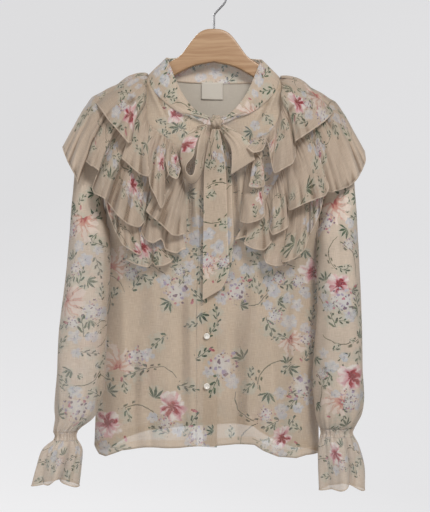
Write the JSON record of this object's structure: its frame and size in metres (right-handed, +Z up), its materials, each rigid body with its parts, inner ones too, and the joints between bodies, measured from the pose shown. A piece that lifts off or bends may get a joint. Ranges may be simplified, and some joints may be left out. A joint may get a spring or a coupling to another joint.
{
  "type": "blouse",
  "caption": "Long-sleeved tie-neck blouse with tiered ruffles over the shoulders and flounced cuffs, worn flat on a shaped wooden hanger with a wire hook",
  "frame": {"origin": "inside of the top of the hanger's hook, where it rests on a rail", "axes": "+Z up, -Y is the front of the blouse, +X is its right as seen from the front"},
  "size_m": [0.5171, 0.12, 0.7886],
  "materials": {
    "chiffon": "matt, semi-sheer",
    "lining": "matt",
    "label": "woven, bare",
    "wood": "lacquered satin",
    "steel": "satin",
    "pearl": "pearly gloss"
  },
  "bodies": {
    "root": {"back": "chiffon", "back_lining": "lining", "bow_knot": "chiffon", "bow_loop_left": "chiffon", "bow_loop_right": "chiffon", "button_1": "pearl", "button_2": "pearl", "button_3": "pearl", "button_4": "pearl", "button_5": "pearl", "collar_band": "chiffon", "cuff_casing_left": "chiffon", "cuff_casing_right": "chiffon", "cuff_flounce_left": "chiffon", "cuff_flounce_right": "chiffon", "front_left": "chiffon", "front_right": "chiffon", "hanger_hook": "steel", "hanger_wood": "wood", "neck_label": "label", "placket": "chiffon", "ruffle_left_1": "chiffon", "ruffle_left_2": "chiffon", "ruffle_left_3": "chiffon", "ruffle_right_1": "chiffon", "ruffle_right_2": "chiffon", "ruffle_right_3": "chiffon", "sleeve_left": "chiffon", "sleeve_right": "chiffon", "tie_tail_back": "chiffon", "tie_tail_front": "chiffon"}
  },
  "joints": []
}
